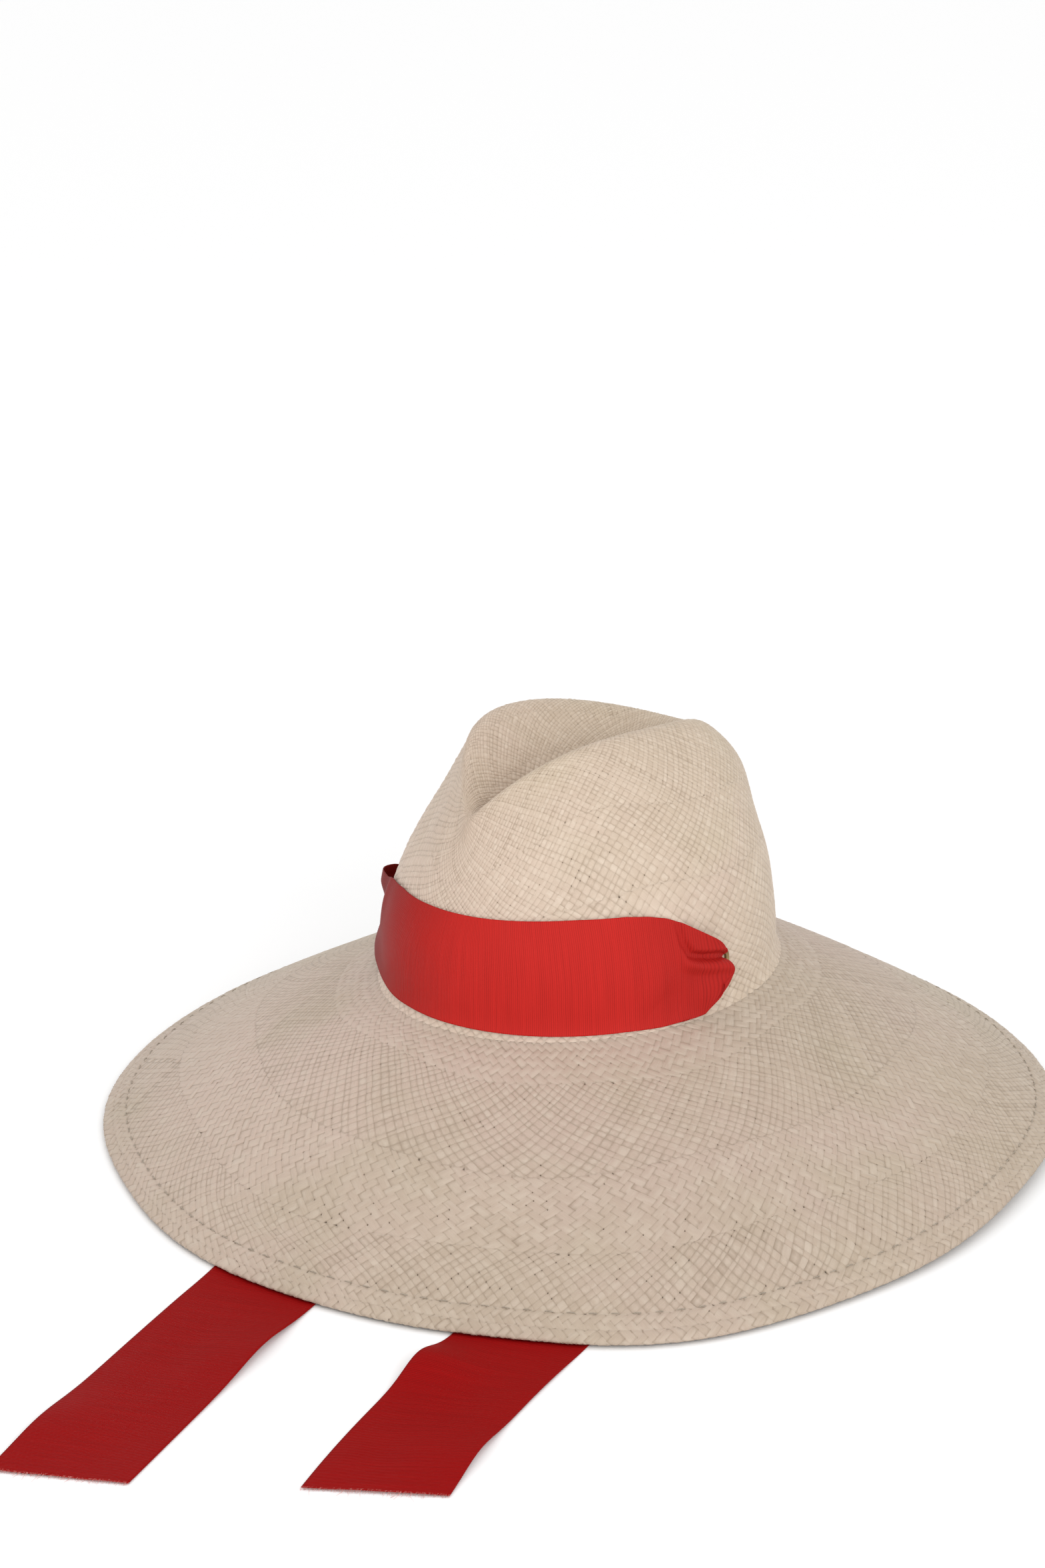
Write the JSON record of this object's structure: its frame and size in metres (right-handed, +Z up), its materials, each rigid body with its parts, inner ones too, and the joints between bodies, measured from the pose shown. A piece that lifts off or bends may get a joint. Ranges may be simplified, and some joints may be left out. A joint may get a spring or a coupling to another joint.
{
  "type": "panama hat",
  "caption": "Wide, down-sloping brimmed straw panama hat with a creased teardrop crown and a wide ribbon run through side eyelets to make two long chin ties.",
  "frame": {"origin": "on the surface that the brim's edge rests on, straight below the middle of the head opening", "axes": "+Z up; the hat's front faces -Y; the wearer's left is +X; the two ties lie towards -Y"},
  "size_m": [0.452, 0.6454, 0.2108],
  "materials": {
    "straw": "woven toquilla straw, matt with a faint silky sheen",
    "thread": "fine tan sewing thread",
    "sweat": "cotton grosgrain sweatband, ivory",
    "tape": "ivory cotton tape",
    "ribbon": "red grosgrain ribbon, fine ribs, slight sheen",
    "metal": "antique brass, satin, slightly darkened"
  },
  "bodies": {
    "hat": {"straw_body": "straw", "hem_stitching": "thread", "sweatband": "sweat", "sweatband_stitching": "thread", "sweatband_seam_tape": "tape", "ribbon_band": "ribbon", "eyelet_left": "metal", "eyelet_right": "metal", "eyelet_washer_left": "metal", "eyelet_washer_right": "metal"},
    "tie_left_hanging": {"tie_left_drop": "ribbon"},
    "tie_left_lying": {"tie_left_tail": "ribbon"},
    "tie_right_hanging": {"tie_right_drop": "ribbon"},
    "tie_right_lying": {"tie_right_tail": "ribbon"}
  },
  "joints": [
    {"name": "tie_left_swing", "type": "hinge", "parent": "hat", "child": "tie_left_hanging", "pos_m": [0.0745, -0.0005, 0.104], "axis": [0, 0, 1], "range_deg": [-3, 8]},
    {"name": "tie_left_fold", "type": "hinge", "parent": "tie_left_hanging", "child": "tie_left_lying", "pos_m": [0.0695, -0.008, 0.0004], "axis": [0.9537, 0.3007, 0], "range_deg": [0, 85]},
    {"name": "tie_right_swing", "type": "hinge", "parent": "hat", "child": "tie_right_hanging", "pos_m": [-0.0725, -0.0224, 0.104], "axis": [0, 0, 1], "range_deg": [-8, 3]},
    {"name": "tie_right_fold", "type": "hinge", "parent": "tie_right_hanging", "child": "tie_right_lying", "pos_m": [-0.0515, -0.032, 0.0004], "axis": [0.9537, 0.3007, 0], "range_deg": [0, 85]}
  ]
}
